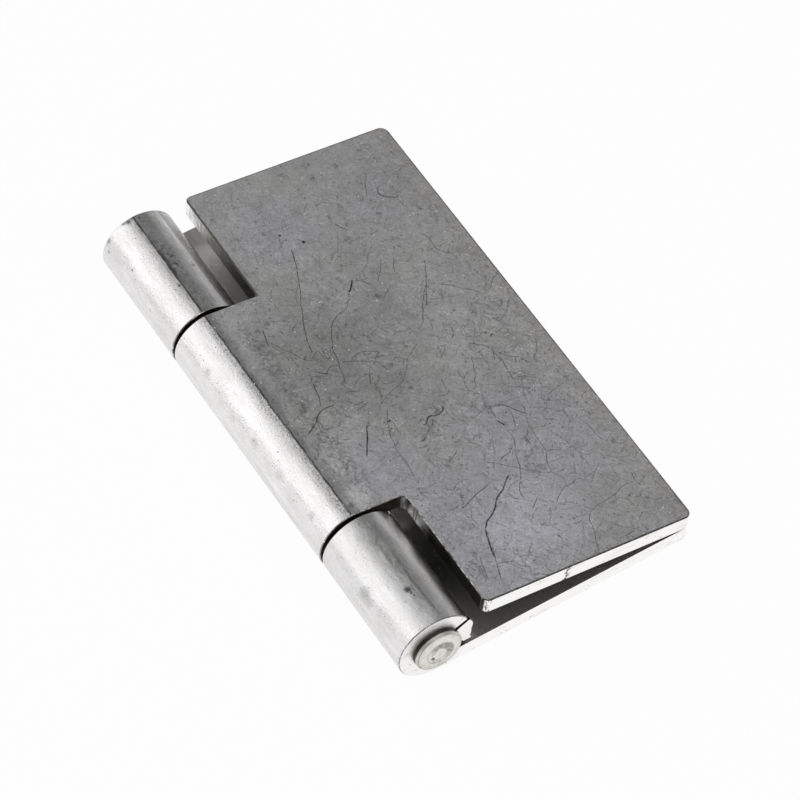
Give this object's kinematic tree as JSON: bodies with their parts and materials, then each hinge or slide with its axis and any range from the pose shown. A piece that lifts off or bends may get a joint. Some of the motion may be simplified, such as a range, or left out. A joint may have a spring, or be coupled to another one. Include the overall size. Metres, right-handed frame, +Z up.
{
  "type": "butt hinge",
  "caption": "Plain weld-on butt hinge: two flat leaves of steel sheet with rolled knuckles, turning on a round pin that is staked at both ends.",
  "frame": {"origin": "on the pin axis, at the middle of the hinge's length", "axes": "+Y along the pin, +Z up and away from the lower leaf's mounting face, +X from the pin towards the free edges of the closed leaves"},
  "size_m": [0.0574, 0.1026, 0.0141],
  "materials": {
    "leaf_steel": "mill finish, scratched",
    "pin_steel": "bright drawn"
  },
  "bodies": {
    "fixed_leaf": {"lower_leaf": "leaf_steel", "hinge_pin": "pin_steel"},
    "swinging_leaf": {"upper_leaf": "leaf_steel"}
  },
  "joints": [
    {"name": "leaf_swing", "type": "hinge", "parent": "fixed_leaf", "child": "swinging_leaf", "pos_m": [0, 0, 0], "axis": [0, -1, 0], "range_deg": [0, 286]}
  ]
}
